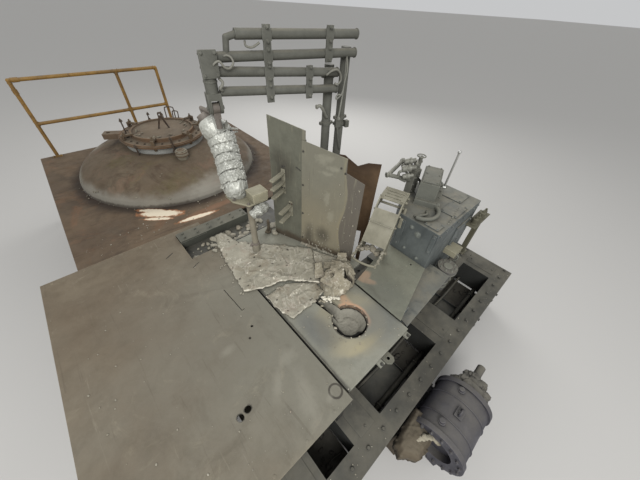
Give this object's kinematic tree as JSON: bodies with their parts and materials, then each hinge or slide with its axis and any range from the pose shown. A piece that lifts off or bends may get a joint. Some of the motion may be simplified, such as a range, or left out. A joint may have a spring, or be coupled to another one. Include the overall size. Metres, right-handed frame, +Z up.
{
  "type": "die casting machine",
  "caption": "Die casting machine with a round holding furnace, service deck, launder, keyhole pouring table, gantry-hung dosing arm, splash shields and drive block on a bed.",
  "frame": {"origin": "on the floor, at the middle of the machine's extent in X and Y", "axes": "+X to the right along the bed, +Y back along the deck to the furnace, +Z up"},
  "size_m": [4.05, 6.06, 2.82],
  "materials": {
    "bed_steel": "worn grey paint with oil and dust",
    "tray_steel": "oily sheet steel",
    "drum_paint": "dusty grey paint",
    "cap_steel": "scuffed steel",
    "frame_steel": "grey paint, rust at the edges",
    "deck_plate": "dusty brown steel plate, scuffed",
    "furnace_plate": "rust brown steel plate with dust",
    "shell_steel": "heat dulled steel",
    "dome_refractory": "dusty heat stained casing",
    "neck_refractory": "white refractory, sooted",
    "lid_rust": "rust brown cast iron",
    "handle_rust": "dark rust",
    "clamp_rust": "ochre rust",
    "spout_refractory": "dusty refractory sleeve",
    "rail_ochre": "ochre yellow paint, rusted through",
    "launder_steel": "dark grey green steel",
    "block_blue": "dusty blue grey paint",
    "table_steel": "heat tinted grey plate",
    "basin_refractory": "grey refractory wash",
    "plate_steel": "dusty grey plate with heat tint",
    "crust_sheet": "crusted with pale dross",
    "shield_sheet": "dusty grey tan sheet",
    "rust_sheet": "red brown rust",
    "arm_tan": "cream tan paint, dusty",
    "gantry_grey": "mid grey paint, dusty",
    "arm_steel": "scuffed light steel",
    "foil_wrap": "crumpled white silver foil wrap",
    "box_cream": "cream paint, sooted",
    "pipe_pale": "pale coated pipe",
    "hood_grey": "dusty grey paint",
    "valve_metal": "cast alloy with dust",
    "lever_steel": "bright bar",
    "cup_crust": "white and tan dross crust"
  },
  "bodies": {
    "machine": {"bed_frame": "bed_steel", "bed_tray": "tray_steel", "side_cylinder": "drum_paint", "cylinder_cap": "cap_steel", "deck_frame": "frame_steel", "front_deck": "deck_plate", "furnace_deck": "furnace_plate", "furnace_deck_frame": "frame_steel", "furnace_shell": "shell_steel", "furnace_dome": "dome_refractory", "furnace_neck": "neck_refractory", "lid_flange": "lid_rust", "lid_plate": "lid_rust", "lid_handle": "handle_rust", "lid_clamps": "clamp_rust", "lid_side_box": "lid_rust", "dome_spout": "spout_refractory", "guard_rail": "rail_ochre", "launder_beam": "launder_steel", "launder_pan": "tray_steel", "table_frame": "frame_steel", "front_apron": "block_blue", "keyhole_table": "table_steel", "keyhole_basin": "basin_refractory", "right_plate": "plate_steel", "crust_sheet_left": "crust_sheet", "crust_sheet_front": "crust_sheet", "shield_left": "shield_sheet", "shield_right": "shield_sheet", "rear_sheet": "rust_sheet", "guide_bars": "arm_tan", "gantry_columns": "gantry_grey", "gantry_bars": "gantry_grey", "gantry_link": "gantry_grey", "drive_block": "block_blue", "block_hood": "hood_grey", "valve_cluster": "valve_metal", "block_side_box": "box_cream", "head_cylinder": "cap_steel", "ladle_arm": "arm_tan", "ladle_cup": "cup_crust"},
    "dosing_arm": {"arm_bar": "arm_steel", "wrapped_arm": "foil_wrap", "sensor_box": "box_cream", "drop_pipe": "pipe_pale"},
    "lever": {"hand_lever": "lever_steel"}
  },
  "joints": [
    {"name": "arm_hinge", "type": "hinge", "parent": "machine", "child": "dosing_arm", "pos_m": [-0.29552, -0.20937, 2.29], "axis": [-0.9759, 0.2181, 0], "range_deg": [0, 25]},
    {"name": "lever_pivot", "type": "hinge", "parent": "machine", "child": "lever", "pos_m": [1.33649, -1.59552, 1.62], "axis": [-0.3907, 0.9205, 0], "range_deg": [-15, 15]}
  ]
}
